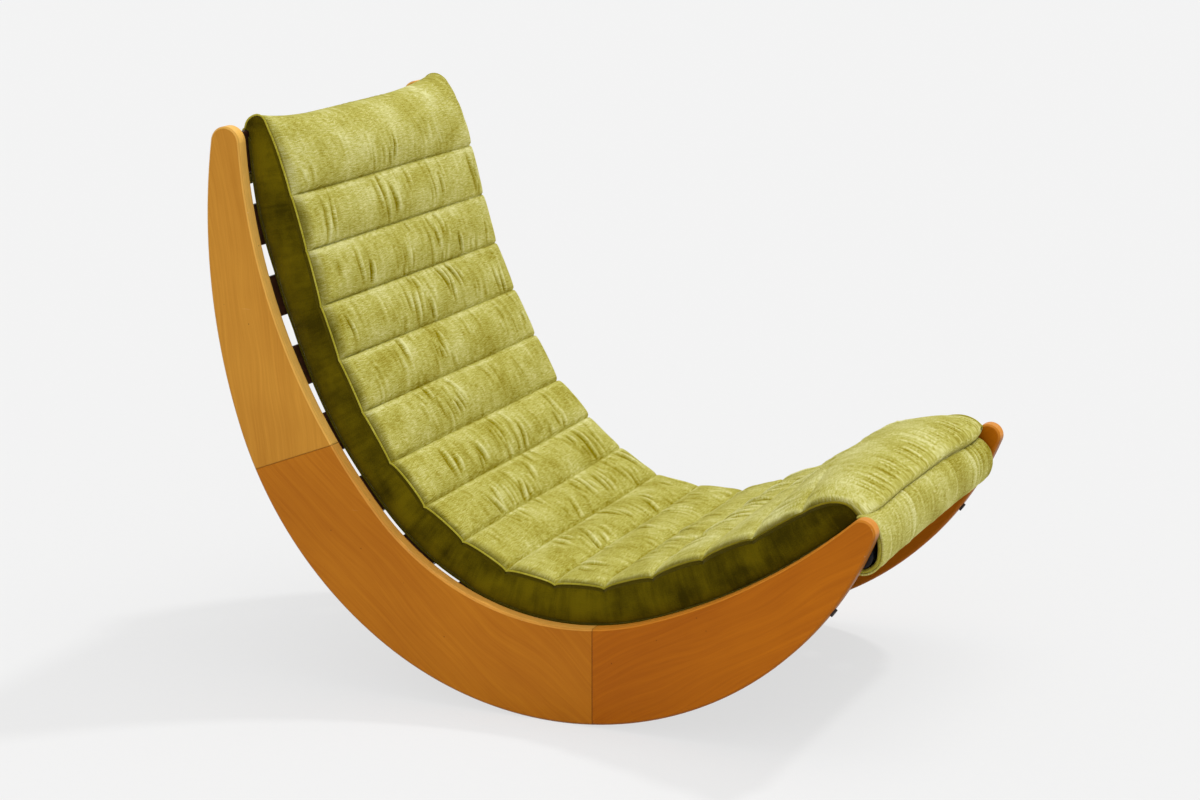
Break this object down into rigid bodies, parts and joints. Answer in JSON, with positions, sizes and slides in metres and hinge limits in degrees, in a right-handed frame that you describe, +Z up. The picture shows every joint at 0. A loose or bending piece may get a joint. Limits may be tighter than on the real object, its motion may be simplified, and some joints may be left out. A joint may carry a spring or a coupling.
{
  "type": "rocking lounge chair",
  "caption": "Rocking lounge chair: crescent plywood side panels on their own curved edges, dark cross slats and a channelled cushion hooked over both ends.",
  "frame": {"origin": "the point of the floor that the runners touch, under the centre of the rocker arc and midway between the two side panels", "axes": "X runs across the chair to the sitter's left, Y to the back of the chair and Z up; the sitter faces -Y"},
  "size_m": [0.68, 1.131, 0.9187],
  "materials": {
    "front_board_wood": "satin lacquer",
    "seat_board_wood": "satin lacquer",
    "back_board_wood": "satin lacquer",
    "tongue_wood": "raw",
    "dark_slat": "satin stain",
    "bar_steel": "satin",
    "stop_rubber": "matte",
    "cushion_cloth": "velvet",
    "pocket_cloth": "velvet"
  },
  "bodies": {
    "root": {"cushion": "cushion_cloth", "front_bar": "bar_steel", "front_bar_plugs": "bar_steel", "front_flap": "pocket_cloth", "left_back_board": "back_board_wood", "left_front_board": "front_board_wood", "left_joint_tongues": "tongue_wood", "left_seat_board": "seat_board_wood", "right_back_board": "back_board_wood", "right_front_board": "front_board_wood", "right_joint_tongues": "tongue_wood", "right_seat_board": "seat_board_wood", "runner_stops": "stop_rubber", "slat_01": "dark_slat", "slat_02": "dark_slat", "slat_03": "dark_slat", "slat_04": "dark_slat", "slat_05": "dark_slat", "slat_06": "dark_slat", "slat_07": "dark_slat", "slat_08": "dark_slat", "slat_09": "dark_slat", "slat_10": "dark_slat", "slat_11": "dark_slat", "slat_12": "dark_slat", "top_flap": "pocket_cloth", "top_rail": "dark_slat"}
  },
  "joints": []
}
